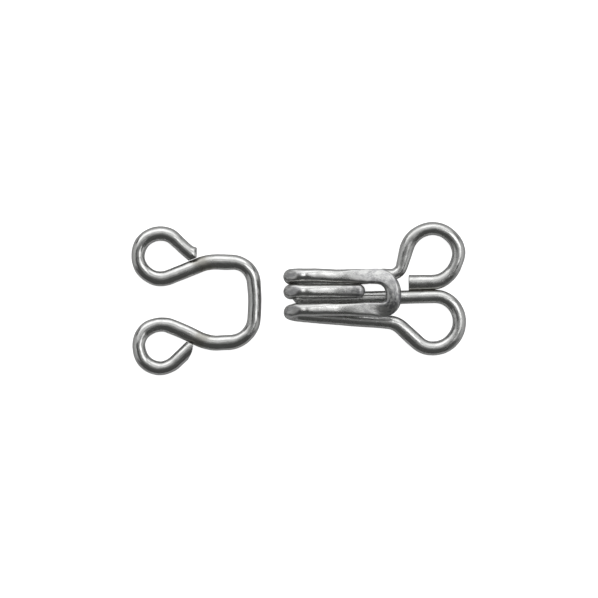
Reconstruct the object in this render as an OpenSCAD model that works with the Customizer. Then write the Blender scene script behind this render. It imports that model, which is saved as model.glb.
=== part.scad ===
/* [Wire] */
// Diameter of the drawn wire that the hook and the eye are bent from
wire_d = 1.0; // [0.8:0.05:1.15]

/* [Hook] */
// Length of the hook, from its nose to the far side of its sewing loops
hook_l = 13.37; // [12.6:0.1:16]
// Length of the bill, from the nose to the outside of its U turn
bill_l = 8.62; // [7.6:0.1:9.4]
// Length of the middle prong, from the nose to its rounded tip
prong_l = 5.95; // [5.2:0.05:6.2]
// Inside width of the hook's upper sewing loop
hook_loop_d = 2.9; // [2.4:0.1:3.4]
// Inside height of the hook's lower sewing loop
low_loop_h = 2.88; // [2.4:0.1:3.4]
// How much higher the throat is than the wire that it takes
throat_play = 0.08; // [0.04:0.02:0.4]
// Bend radius of the nose, on the middle of the wire
nose_r = 0.75; // [0.6:0.05:1]
// How far the bill is pinched down towards the shank behind the throat
pinch = 0.36; // [0.1:0.02:0.5]
// How far the bill rises again from the pinch to its U turn
lift = 0.2; // [0:0.02:0.4]
// Clear space between the prong and the upper strand of the bill
prong_gap = 0.13; // [0.08:0.01:0.3]
// Clear space between the prong and the lower strand of the bill
slot_gap = 0.41; // [0.2:0.01:0.6]
// Clear space between the middle strand of the shank and the cut end beside it
end_gap = 0.05; // [0.05:0.01:0.3]
// Clear space between the middle and lower strands of the shank, at the nose
shank_gap = 0.57; // [0.4:0.01:0.8]
// How far the middle strand of the shank drops sideways from the nose to the lower loop
mid_drop = 0.25; // [0.15:0.01:0.35]
// Angle at which the lower strand of the shank spreads away from the others
flare = 4.8; // [2:0.1:8]
// Width of the wire where the U turn is pressed flat
coin_w = 1.16; // [1:0.01:1.3]
// Thickness that is left where the U turn is pressed flat
coin_t = 0.82; // [0.6:0.01:0.95]
// Width of the wire where it is nipped in the sharp elbow under the bill
elbow_d = 0.86; // [0.7:0.01:1]

/* [Eye] */
// Length of the eye, from the far side of its sewing loops to its bar
eye_l = 9.58; // [8.6:0.1:12]
// Inside width of the eye's sewing loops
eye_loop_d = 2.22; // [1.8:0.1:2.6]
// Distance between the middles of the two sewing loops
eye_span = 6.62; // [6:0.1:8]
// Clear width inside the bow, between its two legs
bow_w = 4.96; // [4.4:0.01:6]
// Angle at which each leg comes away from its sewing loop
neck_angle = 21.2; // [18:1:28]
// Angle at which each cut end comes down onto its leg
end_angle = 41; // [35:1:46]
// Clear space between each cut end and the leg that it rests against
butt_gap = 0.06; // [0.05:0.01:0.2]

/* [Layout] */
// Clear space between the eye's bar and the hook's nose
apart = 1.62; // [0.5:0.05:6]
// How far the eye lies below the hook's middle line
eye_drop = 0.56; // [0:0.05:2]

/* [Hidden] */
$fn = 48;

// Straights are drawn this much inside the bends that they run into
seam = 0.006;
// and reach this far into them
lap = 0.05;
// Shortest straight that is left between two bends
stub = 0.07;

wire_r = wire_d / 2;
flat_z = wire_r;
easy_bend = 3 * wire_d;
soft_bend = 2 * wire_d;
plated = [0.74, 0.75, 0.77];

// Columns of a wire's table: along, across, height, bend radius, wire diameter
function at(rows, i) = [rows[i][0], rows[i][1], rows[i][2]];
function unit(v) = v / norm(v);
function run(rows, i) = at(rows, i + 1) - at(rows, i);
function cosine(a, b) = max(-1, min(1, unit(a) * unit(b)));
function is_bend(rows, i) = i > 0 && i < len(rows) - 1;
function turn(rows, i) = is_bend(rows, i) ? acos(cosine(run(rows, i - 1), run(rows, i))) : 0;
function asked(rows, i) = rows[i][3] * tan(turn(rows, i) / 2);

// Share of the asked bends for which the run after row i has room
function room(rows, i) = let (need = asked(rows, i) + asked(rows, i + 1))
  need > 0 ? min(1, (norm(run(rows, i)) - stub) / need) : 1;
function bend_r(rows, i) = is_bend(rows, i) ? rows[i][3] * min(room(rows, i - 1), room(rows, i)) : 0;
function setback(rows, i) = bend_r(rows, i) * tan(turn(rows, i) / 2);
function before(rows, i) = at(rows, i) - (i > 0 ? unit(run(rows, i - 1)) * setback(rows, i) : [0, 0, 0]);
function after(rows, i) = at(rows, i) + unit(run(rows, i)) * setback(rows, i);

// Placement with its X, Y and Z along u, v and w, and its origin at o
function placed(u, v, w, o) = [
  [u[0], v[0], w[0], o[0]],
  [u[1], v[1], w[1], o[1]],
  [u[2], v[2], w[2], o[2]],
  [0, 0, 0, 1]
];

module straight(rows, i) {
  a = after(rows, i);
  b = before(rows, i + 1);
  w = unit(b - a);
  u = unit(cross(abs(w[2]) > 0.9 ? [1, 0, 0] : [0, 0, 1], w));
  lap_a = is_bend(rows, i) ? lap : 0;
  lap_b = is_bend(rows, i + 1) ? lap : 0;
  taper = (rows[i + 1][4] - rows[i][4]) / norm(b - a);
  multmatrix(placed(u, cross(w, u), w, a - w * lap_a))
    cylinder(
      h = norm(b - a) + lap_a + lap_b,
      d1 = rows[i][4] - taper * lap_a - 2 * seam,
      d2 = rows[i + 1][4] + taper * lap_b - 2 * seam
    );
}

module bend(rows, i) {
  u_in = unit(run(rows, i - 1));
  n = unit(cross(u_in, run(rows, i)));
  out = cross(u_in, n);
  r = bend_r(rows, i);
  multmatrix(placed(out, u_in, n, before(rows, i) - out * r))
    rotate_extrude(angle = turn(rows, i))
      translate([r, 0])
        circle(d = rows[i][4]);
}

// The stretch of a wire from one row of its table to another, with the bends between them
module wire(rows, first, last) {
  for (i = [first : last - 1]) straight(rows, i);
  for (i = [first + 1 : last - 1]) bend(rows, i);
}

// Direction of an angle in plan, and the corner where two lines in plan meet
function way(a) = [cos(a), sin(a)];
function meet(p, a, q, b) = let (u = way(a), v = way(b), d = q - p)
  p + u * (d[0] * v[1] - d[1] * v[0]) / (u[0] * v[1] - u[1] * v[0]);

// Rows of a loop about the point c, from the angle a on through the angle sweep. It is round where its
// corners have the share 1, and a smaller share moves a corner nearer the middle
function around(c, r, a, sweep, shares) = [
  for (k = [0 : len(shares) - 1])
    let (step = sweep / len(shares), p = c + way(a + step * (k + 0.5)) * shares[k] * r / cos(step / 2))
      [p[0], p[1], flat_z, r, wire_d]
];
function backwards(rows) = [for (i = [len(rows) - 1 : -1 : 0]) rows[i]];
function across(rows, sign) = [for (row = rows) [row[0], row[1] * sign, row[2], row[3], row[4]]];

// The eye: along from the far side of its loops, across from its middle line
eye_loop_r = (eye_loop_d + wire_d) / 2;
bar_x = eye_l - wire_r;
leg_y = (bow_w + wire_d) / 2;

// The two sides differ a little, as bent wire does. Columns: leg and bow corner's bend as shares of leg_y,
// loop's radius as a share of eye_loop_r, loop further forward and cut end short of the crossing in wire_d
upper_shares = [0.966, 0.535, 1.018, 0, 0.4];
lower_shares = [1.035, 0.63, 0.992, 0.04, 0.57];
// Columns: degrees more than neck_angle and than end_angle
upper_turns = [0, 0.7];
lower_turns = [1.5, 2.3];
upper_side = [upper_shares, upper_turns];
lower_side = [lower_shares, lower_turns];
// Bend between a loop and its leg, and how far the bar bows outwards
neck_bend = 1.25 * leg_y;
bar_bend = 4 * leg_y;
bar_bow = 0.045 * leg_y;
// The wire is drawn this far past the crossing before it is trimmed, with boxes of this side
overrun = 0.3 * wire_d;
trim_box = 8 * wire_d;

function loop_r(side) = side[0][2] * eye_loop_r;
function loop_at(side) = [wire_r + loop_r(upper_side) + side[0][3] * wire_d, eye_span / 2];
function neck_way(side) = neck_angle + side[1][0];
function end_way(side) = -end_angle - side[1][1];
function leg_start(side) = loop_at(side) + way(neck_way(side) - 90) * loop_r(side);
function end_start(side) = loop_at(side) + way(end_way(side) + 90) * loop_r(side);
// Where the line of the cut end crosses the line of its leg
function crossing(side) = meet(end_start(side), end_way(side), leg_start(side), neck_way(side));

// Rows of one side of the eye, from its cut end to its bow corner
function side_rows(side) =
  let (leg = leg_y * side[0][0], neck = meet(leg_start(side), neck_way(side), [bar_x, leg], 0))
  let (end = crossing(side) + way(end_way(side)) * overrun)
  concat(
    [[end[0], end[1], flat_z, 0, wire_d]],
    around(loop_at(side), loop_r(side), end_way(side) + 90, 180 - end_way(side) + neck_way(side), [1, 1, 1, 1]),
    [
      [neck[0], neck[1], flat_z, neck_bend, wire_d],
      [bar_x - bar_bow, leg, flat_z, side[0][1] * leg_y, wire_d]
    ]
  );
eye_rows = concat(
  side_rows(upper_side),
  [[bar_x, 0, flat_z, bar_bend, wire_d]],
  backwards(across(side_rows(lower_side), -1))
);

// A cut end of the eye: trimmed square to the eye's length, and along the leg that it rests against
module cut_end(side) {
  difference() {
    wire(side_rows(side), 0, 1);
    translate([crossing(side)[0] - side[0][4] * wire_d, crossing(side)[1] - trim_box / 2, -trim_box / 2])
      cube(trim_box);
    translate([crossing(side)[0], crossing(side)[1], 0])
      rotate(neck_way(side))
        translate([-trim_box / 2, wire_r + butt_gap - trim_box, -trim_box / 2])
          cube(trim_box);
  }
}

// The hook: along from its nose, across from its middle line
hook_loop_r = (hook_loop_d + wire_d) / 2;
prong_y = (slot_gap - prong_gap) / 2;
strand_y = wire_d + (slot_gap + prong_gap) / 2;
nose_x = wire_r;
far_x = hook_l - wire_r;
// Where the three strands of the shank leave the nose, a little aslant from the bill above
nose_slant = 0.07 * wire_d;
mid_nose_y = prong_y - nose_slant;
top_nose_y = mid_nose_y + wire_d + 0.4 * prong_gap;
low_nose_y = mid_nose_y - wire_d - shank_gap;
// The middle strand drops behind the nose, then rises to its loop, and a cut end lies beside it there
mid_y = mid_nose_y - mid_drop;
mid_rise = 0.28 * wire_d;
dropped_x = 0.125 * hook_l;
dropped_y = mid_y - mid_rise;
beside_y = mid_y - mid_rise * hook_loop_r / (far_x - dropped_x);
end_y = beside_y + wire_d + end_gap;
// The upper loop reaches a little less far than the lower one, and is drawn in beside its cut end
loop_short = 0.04 * wire_d;
upper_loop_at = [far_x - hook_loop_r - loop_short, end_y + hook_loop_r];
upper_loop_shares = [0.967, 1, 1, 1];
// The limb runs from this loop to the sharp elbow. The top strand lines up with the bill over this length,
// and before that it lies this much nearer the middle, under the gap beside the prong
limb_angle = 256.5;
line_up = 1.2 * wire_d;
tuck = 0.18 * wire_d;
// The cut end stops this far short of the elbow
short_of_elbow = 0.64 * wire_d;
elbow_at = meet(
  upper_loop_at + way(limb_angle - 90) * hook_loop_r, limb_angle,
  [0, strand_y + (wire_d - elbow_d) / 2], 0
);
cut_x = elbow_at[0] + short_of_elbow;
// The lower loop is a rounded box, and a slant runs from its foot to the lower strand of the shank
low_h = low_loop_h + wire_d;
foot_y = mid_y - low_h;
slant_x = far_x - 0.65 * low_h;
slant_angle = -42.5;
slant_bend = 0.41 * low_h;
foot_bend = 0.51 * low_h;
crown_bend = 0.48 * low_h;
spread_bend = 1.5 * wire_d;
spread_at = meet([nose_x, low_nose_y], -flare, [slant_x, foot_y], slant_angle);

bill_z = 2.5 * wire_d + throat_play;
// How far the bend over the nose aims above the throat, so that its crest stands a little proud. It is
// tighter than the lower one, and the throat begins where it has run out
nose_rise = 0.4 * nose_r;
crest_bend = wire_r + 0.46 * (nose_r - wire_r);
throat_from = nose_x + 1.57 * crest_bend;
throat_bend = wire_d;
// The throat's end and the pinch, along the bill
throat_to = 0.29 * bill_l;
pinch_x = 0.455 * bill_l;
pinch_z = bill_z - pinch;
// The outer strands are nipped towards the prong at the pinch
nip_upper = 0.35 * prong_gap;
nip_lower = 0.3 * slot_gap;
tip_drop = 0.1 * wire_d;
coin_x = bill_l - coin_w / 2;
coin_y = strand_y - (coin_w - wire_d) / 2;
// The U turn is a little askew: its upper corner lies this far behind the lower one, which is tighter
askew = 0.08 * wire_d;
upper_turn = coin_y;
lower_turn = 0.7 * coin_y;
coin_z = pinch_z + lift;

// A strand from the shank round the nose and along the throat to the pinch
function nose_rows(y_shank, y_bill, y_pinch) = [
  [nose_x, y_shank, flat_z, nose_r, wire_d],
  [nose_x, y_bill, bill_z + nose_rise, crest_bend, wire_d],
  [throat_from, y_bill, bill_z, throat_bend, wire_d],
  [throat_to, y_bill, bill_z, easy_bend, wire_d],
  [pinch_x, y_pinch, pinch_z, easy_bend, wire_d]
];
upper_strand = nose_rows(top_nose_y, strand_y, strand_y - nip_upper);
lower_strand = nose_rows(low_nose_y, -strand_y, -strand_y + nip_lower);
shank_start = concat(
  [[cut_x, end_y, flat_z, 0, wire_d]],
  around(upper_loop_at, hook_loop_r, -90, limb_angle, upper_loop_shares),
  [
    [elbow_at[0], elbow_at[1], flat_z, elbow_d, elbow_d],
    [elbow_at[0] - line_up, strand_y, flat_z, soft_bend, wire_d],
    [prong_l, strand_y - tuck, flat_z, soft_bend, wire_d]
  ]
);
hook_rows = concat(
  shank_start,
  upper_strand,
  [
    [coin_x - askew, coin_y, coin_z, upper_turn, coin_w],
    [coin_x, -coin_y, coin_z, lower_turn, coin_w]
  ],
  backwards(lower_strand),
  [
    [spread_at[0], spread_at[1], flat_z, spread_bend, wire_d],
    [slant_x, foot_y, flat_z, slant_bend, wire_d],
    [far_x, foot_y, flat_z, foot_bend, wire_d],
    [far_x, mid_y, flat_z, crown_bend, wire_d],
    [dropped_x, dropped_y, flat_z, soft_bend, wire_d]
  ],
  nose_rows(mid_nose_y, prong_y, prong_y),
  [[prong_l - wire_r, prong_y, pinch_z - tip_drop, 0, wire_d]]
);
// Rows between which the bill is pressed flat
press_from = len(shank_start) + len(upper_strand) - 1;
press_to = press_from + 3;

// Side view of the two dies that press the U turn flat: they start clear of the wire at the pinch
module dies() {
  start_gap = 0.05;
  ramp = 0.3 * (bill_l - pinch_x);
  die_h = 2 * wire_d;
  for (side = [1, -1])
    translate([0, bill_l, 0])
      rotate([90, 0, 0])
        linear_extrude(2 * bill_l)
          polygon([
            [pinch_x, pinch_z + side * (wire_r + start_gap)],
            [pinch_x + ramp, coin_z + side * coin_t / 2],
            [bill_l + wire_d, coin_z + side * coin_t / 2],
            [bill_l + wire_d, coin_z + side * die_h],
            [pinch_x, pinch_z + side * die_h]
          ]);
}

// The whole layout, with the origin under the middle of its box
hook_x = eye_l + apart;
middle_x = (hook_x + hook_l) / 2;
hook_top = upper_loop_at[1] + hook_loop_r + wire_r;
hook_foot = foot_y - wire_r;
eye_top = eye_span / 2 + loop_r(upper_side) + wire_r - eye_drop;
eye_foot = -eye_span / 2 - loop_r(lower_side) - wire_r - eye_drop;
middle_y = (max(hook_top, eye_top) + min(hook_foot, eye_foot)) / 2;

module hook() {
  color(plated)
    translate([hook_x - middle_x, -middle_y, 0]) {
      wire(hook_rows, 0, press_from);
      bend(hook_rows, press_from);
      difference() {
        wire(hook_rows, press_from, press_to);
        dies();
      }
      bend(hook_rows, press_to);
      wire(hook_rows, press_to, len(hook_rows) - 1);
      translate(at(hook_rows, len(hook_rows) - 1))
        sphere(d = wire_d);
    }
}

module eye() {
  color(plated)
    translate([-middle_x, -middle_y - eye_drop, 0]) {
      cut_end(upper_side);
      bend(eye_rows, 1);
      wire(eye_rows, 1, len(eye_rows) - 2);
      bend(eye_rows, len(eye_rows) - 2);
      mirror([0, 1, 0])
        cut_end(lower_side);
    }
}

hook();
eye();
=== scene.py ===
# %% [markdown]
# # A hook and eye, bent from bright wire
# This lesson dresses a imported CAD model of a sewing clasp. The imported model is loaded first, as a fixed
# frame: the wires that are made here lie where its solids lie, and are only finer and less perfect.
# Everything below is in that frame, with X to the right of the picture, Y up the picture and Z towards
# the camera.

# %% Load the frame
import math

import bpy
import numpy as np
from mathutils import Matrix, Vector


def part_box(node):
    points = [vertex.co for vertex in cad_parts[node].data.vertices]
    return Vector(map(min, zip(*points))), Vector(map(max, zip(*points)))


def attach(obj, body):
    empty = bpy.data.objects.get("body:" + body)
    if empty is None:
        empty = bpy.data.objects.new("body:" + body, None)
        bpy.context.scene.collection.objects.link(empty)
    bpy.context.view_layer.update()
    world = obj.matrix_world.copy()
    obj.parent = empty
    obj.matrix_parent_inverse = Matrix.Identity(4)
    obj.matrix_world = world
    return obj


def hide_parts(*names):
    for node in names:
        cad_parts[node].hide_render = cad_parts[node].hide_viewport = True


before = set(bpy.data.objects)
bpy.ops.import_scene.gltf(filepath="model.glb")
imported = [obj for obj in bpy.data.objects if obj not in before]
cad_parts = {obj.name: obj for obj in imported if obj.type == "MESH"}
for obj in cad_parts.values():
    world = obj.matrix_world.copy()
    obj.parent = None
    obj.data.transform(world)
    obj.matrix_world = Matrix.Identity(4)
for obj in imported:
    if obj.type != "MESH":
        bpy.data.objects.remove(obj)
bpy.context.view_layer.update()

for name in ("hook", "eye"):
    low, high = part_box(name)
    print(name, "in mm:", [round(1000 * v, 2) for v in (*low, *high)])

# %% [markdown]
# ## The camera
# The clasp lies flat and is seen from straight above. A long lens a foot away keeps the sides of the wire
# from spreading, as they do under a short one. The camera comes first, so that every later step can be
# looked at.

# %% Set up the camera
MM = 0.001
picture_width = 43.97 * MM
camera_height = 300 * MM
aside_x, aside_y = 0.03 * MM, -0.045 * MM

camera_data = bpy.data.cameras.new("overhead_camera")
camera_data.sensor_width = 36
camera_data.lens = camera_data.sensor_width * camera_height / picture_width
camera_data.clip_start = 0.01
camera_data.clip_end = 10
camera = bpy.data.objects.new("overhead_camera", camera_data)
camera.location = (aside_x, aside_y, camera_height)
bpy.context.scene.collection.objects.link(camera)
bpy.context.scene.camera = camera
print("lens in mm:", round(camera_data.lens, 1))

# %% [markdown]
# ## The sizes
# A wire piece is fixed by a few sizes: how thick the wire is, how long and wide each piece is, and how
# tight the bends are. They are the same sizes as in the CAD model, in millimetres, so that both give the
# same clasp.

# %% Sizes in millimetres
wire_d = 1.0
wire_r = wire_d / 2
flat_z = wire_r
easy_bend = 3 * wire_d
soft_bend = 2 * wire_d

hook_l, bill_l, prong_l = 13.37, 8.62, 5.95
hook_loop_d, low_loop_h = 2.9, 2.88
throat_play, nose_r, pinch, lift = 0.08, 0.75, 0.36, 0.2
prong_gap, slot_gap, end_gap, shank_gap = 0.13, 0.41, 0.05, 0.57
mid_drop, flare = 0.25, 4.8
coin_w, coin_t, elbow_d = 1.16, 0.82, 0.86

eye_l, eye_loop_d, eye_span, bow_w = 9.58, 2.22, 6.62, 4.96
neck_angle, end_angle = 21.2, 41
apart, eye_drop = 1.62, 0.56
print("hook", hook_l, "mm long, eye", eye_l, "mm long, wire", wire_d, "mm")

# %% [markdown]
# ## A route made of corners
# A bench bender thinks of a wire as straights and bends. So each route is a table of corners, and each
# corner has a bend radius and a wire thickness. A Bezier curve could carry the same shape, but its
# handles would have to be found by eye, while corners can be calculated from sizes.

# %% Helpers for corners
BEND, THICK = 3, 4


def way(angle):
    return np.array([math.cos(math.radians(angle)), math.sin(math.radians(angle))])


def meet(p, a, q, b):
    """Where a line through p at angle a crosses a line through q at angle b, in plan."""
    u, v, d = way(a), way(b), np.subtract(q, p)
    return np.add(p, u * (d[0] * v[1] - d[1] * v[0]) / (u[0] * v[1] - u[1] * v[0]))


def around(centre, radius, start, sweep, shares=(1, 1, 1, 1)):
    """Corners of a loop: it is round where they have the share 1, and is drawn in where they have less."""
    step = sweep / len(shares)
    reach = radius / math.cos(math.radians(step / 2))
    spots = [centre + way(start + step * (k + 0.5)) * reach * share for k, share in enumerate(shares)]
    return [[x, y, flat_z, radius, wire_d] for x, y in spots]


def mirrored(rows):
    """The same corners on the other side of the middle line."""
    return [[row[0], -row[1], *row[2:]] for row in rows]


print("1 mm at 30 degrees goes along and across by", way(30).round(3))

# %% [markdown]
# ## The route of the eye
# The eye is a squared bow between two sewing loops. Its two sides differ a little, as hand-set tooling
# leaves them: one leg is set wider, one corner is tighter, and the two cut ends stop at different places.

# %% Corners of the eye
eye_loop_r = (eye_loop_d + wire_d) / 2
bar_x = eye_l - wire_r
leg_y = (bow_w + wire_d) / 2
neck_bend, bar_bend, bar_bow = 1.25 * leg_y, 4 * leg_y, 0.045 * leg_y
overrun = 0.3 * wire_d
upper_side = dict(leg=0.966, corner=0.535, loop=1.018, ahead=0, short=0.4, neck=0, end=0.7)
lower_side = dict(leg=1.035, corner=0.63, loop=0.992, ahead=0.04, short=0.57, neck=1.5, end=2.3)


def loop_r(side):
    return side["loop"] * eye_loop_r


def loop_at(side):
    return np.array([wire_r + loop_r(upper_side) + side["ahead"] * wire_d, eye_span / 2])


def neck_way(side):
    return neck_angle + side["neck"]


def end_way(side):
    return -end_angle - side["end"]


def leg_start(side):
    return loop_at(side) + way(neck_way(side) - 90) * loop_r(side)


def crossing(side):
    """Where the line of a cut end crosses the line of its leg."""
    end_start = loop_at(side) + way(end_way(side) + 90) * loop_r(side)
    return meet(end_start, end_way(side), leg_start(side), neck_way(side))


def side_rows(side):
    leg = leg_y * side["leg"]
    neck = meet(leg_start(side), neck_way(side), [bar_x, leg], 0)
    end = crossing(side) + way(end_way(side)) * overrun
    sweep = 180 - end_way(side) + neck_way(side)
    bow_corner = [bar_x - bar_bow, leg, flat_z, side["corner"] * leg_y, wire_d]
    return (
        [[*end, flat_z, 0, wire_d]]
        + around(loop_at(side), loop_r(side), end_way(side) + 90, sweep)
        + [[*neck, flat_z, neck_bend, wire_d], bow_corner]
    )


bar_row = [bar_x, 0, flat_z, bar_bend, wire_d]
eye_rows = side_rows(upper_side) + [bar_row] + mirrored(side_rows(lower_side))[::-1]
print("the eye has", len(eye_rows), "corners and ends")

# %% [markdown]
# ## The route of the hook
# The hook is one longer wire that runs three times round the nose. Seen from the side, each of these
# three strands goes round the nose, over the throat that takes the eye, and down to a pinch that keeps
# the eye in.

# %% Corners of the hook
hook_loop_r = (hook_loop_d + wire_d) / 2
prong_y = (slot_gap - prong_gap) / 2
strand_y = wire_d + (slot_gap + prong_gap) / 2
nose_x, far_x = wire_r, hook_l - wire_r
mid_nose_y = prong_y - 0.07 * wire_d
top_nose_y = mid_nose_y + wire_d + 0.4 * prong_gap
low_nose_y = mid_nose_y - wire_d - shank_gap
mid_y = mid_nose_y - mid_drop
mid_rise, dropped_x = 0.28 * wire_d, 0.125 * hook_l
dropped_y = mid_y - mid_rise
end_y = mid_y - mid_rise * hook_loop_r / (far_x - dropped_x) + wire_d + end_gap
upper_loop_at = np.array([far_x - hook_loop_r - 0.04 * wire_d, end_y + hook_loop_r])
limb_angle, drawn_in = 256.5, (0.967, 1, 1, 1)
limb_start = upper_loop_at + way(limb_angle - 90) * hook_loop_r
elbow_at = meet(limb_start, limb_angle, [0, strand_y + (wire_d - elbow_d) / 2], 0)
line_up, tuck = 1.2 * wire_d, 0.18 * wire_d
cut_x = elbow_at[0] + 0.64 * wire_d

low_h = low_loop_h + wire_d
foot_y = mid_y - low_h
slant_x, limb_fall = far_x - 0.65 * low_h, -42.5
spread_at = meet([nose_x, low_nose_y], -flare, [slant_x, foot_y], limb_fall)
spread_bend, foot_bend, far_bend, top_bend = 1.5 * wire_d, 0.41 * low_h, 0.51 * low_h, 0.48 * low_h

bill_z = 2.5 * wire_d + throat_play
nose_rise, tip_drop = 0.4 * nose_r, 0.1 * wire_d
crest_bend = wire_r + 0.46 * (nose_r - wire_r)
throat_from, throat_to, pinch_x = nose_x + 1.57 * crest_bend, 0.29 * bill_l, 0.455 * bill_l
pinch_z = bill_z - pinch
nip_upper, nip_lower = 0.35 * prong_gap, 0.3 * slot_gap
coin_x = bill_l - coin_w / 2
coin_y = strand_y - (coin_w - wire_d) / 2
coin_z = pinch_z + lift
askew, coin_corner = 0.08 * wire_d, 0.7 * coin_y


def nose_rows(y_shank, y_bill, y_pinch):
    """A strand from the shank round the nose and along the throat to the pinch."""
    return [
        [nose_x, y_shank, flat_z, nose_r, wire_d],
        [nose_x, y_bill, bill_z + nose_rise, crest_bend, wire_d],
        [throat_from, y_bill, bill_z, wire_d, wire_d],
        [throat_to, y_bill, bill_z, easy_bend, wire_d],
        [pinch_x, y_pinch, pinch_z, easy_bend, wire_d],
    ]


shank_start = (
    [[cut_x, end_y, flat_z, 0, wire_d]]
    + around(upper_loop_at, hook_loop_r, -90, limb_angle, drawn_in)
    + [
        [*elbow_at, flat_z, elbow_d, elbow_d],
        [elbow_at[0] - line_up, strand_y, flat_z, soft_bend, wire_d],
        [prong_l, strand_y - tuck, flat_z, soft_bend, wire_d],
    ]
)
hook_rows = (
    shank_start
    + nose_rows(top_nose_y, strand_y, strand_y - nip_upper)
    + [
        [coin_x - askew, coin_y, coin_z, coin_y, coin_w],
        [coin_x, -coin_y, coin_z, coin_corner, coin_w],
    ]
    + nose_rows(low_nose_y, -strand_y, -strand_y + nip_lower)[::-1]
    + [
        [*spread_at, flat_z, spread_bend, wire_d],
        [slant_x, foot_y, flat_z, foot_bend, wire_d],
        [far_x, foot_y, flat_z, far_bend, wire_d],
        [far_x, mid_y, flat_z, top_bend, wire_d],
        [dropped_x, dropped_y, flat_z, soft_bend, wire_d],
    ]
    + nose_rows(mid_nose_y, prong_y, prong_y)
    + [[prong_l - wire_r, prong_y, pinch_z - tip_drop, 0, wire_d]]
)
print("the hook has", len(hook_rows), "corners and ends")

# %% [markdown]
# ## Where the two pieces lie
# The hook lies to the right of the eye, and the eye a little lower. The origin is under the middle of
# both.

# %% Shift the routes into the frame
hook_x = eye_l + apart
middle_x = (hook_x + hook_l) / 2
hook_top = upper_loop_at[1] + hook_loop_r + wire_r
eye_foot = -eye_span / 2 - loop_r(lower_side) - wire_r - eye_drop
middle_y = (hook_top + eye_foot) / 2
hook_shift = np.array([hook_x - middle_x, -middle_y, 0])
eye_shift = np.array([-middle_x, -middle_y - eye_drop, 0])
print("shifts in mm:", hook_shift.round(3), eye_shift.round(3))

# %% [markdown]
# ## From corners to a centre line
# Each corner is rounded with an arc that leaves its two straights smoothly. The points are then spread
# evenly along the wire and slightly averaged, because the curve of real wire builds up over a short
# stretch. That shows most in the highlights, which would otherwise break where a straight meets an arc.

# %% Round the corners
def rounded(rows, least_straight=0.07, step=0.03):
    """Points along the straights and arcs, each with the wire's thickness there."""
    rows = np.array(rows, float)
    spots, count = rows[:, :3], len(rows)
    runs = np.diff(spots, axis=0)
    lengths = np.linalg.norm(runs, axis=1)
    ways = runs / lengths[:, None]
    turns = np.zeros(count)
    for k in range(1, count - 1):
        turns[k] = math.acos(np.clip(ways[k - 1] @ ways[k], -1, 1))
    wanted = rows[:, BEND] * np.tan(turns / 2)
    needs = wanted[:-1] + wanted[1:]
    rooms = np.minimum(1, (lengths - least_straight) / np.where(needs > 0, needs, 1e-9))
    radii = np.zeros(count)
    radii[1:-1] = rows[1:-1, BEND] * np.minimum(rooms[:-1], rooms[1:])
    back = radii * np.tan(turns / 2)
    line = []
    for k in range(count - 1):
        start, stop = spots[k] + ways[k] * back[k], spots[k + 1] - ways[k] * back[k + 1]
        pieces = max(2, int(np.linalg.norm(stop - start) / step) + 1)
        thick = np.linspace(rows[k, THICK], rows[k + 1, THICK], pieces)
        for t, d in zip(np.linspace(0, 1, pieces), thick):
            line.append([*(start + (stop - start) * t), d])
        if k + 1 < count - 1:
            axis = np.cross(ways[k], ways[k + 1])
            out = np.cross(ways[k], axis / np.linalg.norm(axis))
            centre, r = stop - out * radii[k + 1], radii[k + 1]
            for t in np.linspace(0, turns[k + 1], max(4, int(r * turns[k + 1] / step) + 1))[1:-1]:
                spot = centre + r * (out * math.cos(t) + ways[k] * math.sin(t))
                line.append([*spot, rows[k + 1, THICK]])
    return np.array(line)


def evenly(line, step=0.06, ease=0.15):
    """Points a step apart, averaged over the length ease on each side of them."""
    gone = np.r_[0, np.cumsum(np.linalg.norm(np.diff(line[:, :3], axis=0), axis=1))]
    count = int(gone[-1] / step) + 1
    marks = np.linspace(0, gone[-1], count)
    reach = max(1, int(ease / (gone[-1] / (count - 1))))
    even = np.stack([np.interp(marks, gone, line[:, c]) for c in range(line.shape[1])], axis=1)
    smooth = even.copy()
    for k in range(count):
        side = min(reach, k, count - 1 - k)
        smooth[k] = even[k - side : k + side + 1].mean(axis=0)
    return marks, smooth


eye_marks, eye_line = evenly(rounded(eye_rows))
hook_marks, hook_line = evenly(rounded(hook_rows))
eye_line[:, :3] += eye_shift
hook_line[:, :3] += hook_shift
print("wire in the eye", round(eye_marks[-1], 1), "mm, in the hook", round(hook_marks[-1], 1), "mm")

# %% [markdown]
# ## Where the wire isn't straight
# A few stretches aren't as straight as the route says, and the centre line is nudged there by less than a
# fifth of a millimetre. On the shank, the middle strand stays level for a moment behind the nose before
# it drops, and the cut end leans on the strand beside it.

# %% Nudge the shank
def eased(value, low, high):
    """0 below one value and 1 above another, with a soft start and end."""
    t = np.clip((value - low) / (high - low), 0, 1)
    return t * t * (3 - 2 * t)


along, across, up = (hook_line[:, :3] - hook_shift).T
shank_top, half_width = 1.5, 0.7
drop_between, lean_between, end_lean = (0.8, 1.4), (2.6, 4.4), 0.045
shank_middle = (along < dropped_x) & (up < shank_top) & (abs(across) < half_width)
level_then_drop = mid_nose_y + (dropped_y - mid_nose_y) * eased(along, *drop_between)
low_enough = eased(shank_top - up[shank_middle], 0, 0.5)
hook_line[shank_middle, 1] += (level_then_drop - across)[shank_middle] * low_enough
leaning_end = 1 - eased(hook_marks, *lean_between)
hook_line[:, 1] -= end_lean * leaning_end
moved = abs(level_then_drop - across)[shank_middle].max()
print("middle strand moved by up to", moved.round(2), "mm")

# %% [markdown]
# On the bill, the lower strand comes a little nearer to the prong behind the nose. All three strands come
# down to the pinch in one long slope instead of two bends, and the end of the prong rises a little. These
# heights can't be measured from above, but they show: a slope mirrors one light and a level stretch
# another, so they were set until the bands of light on the bill had the right length.

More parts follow.
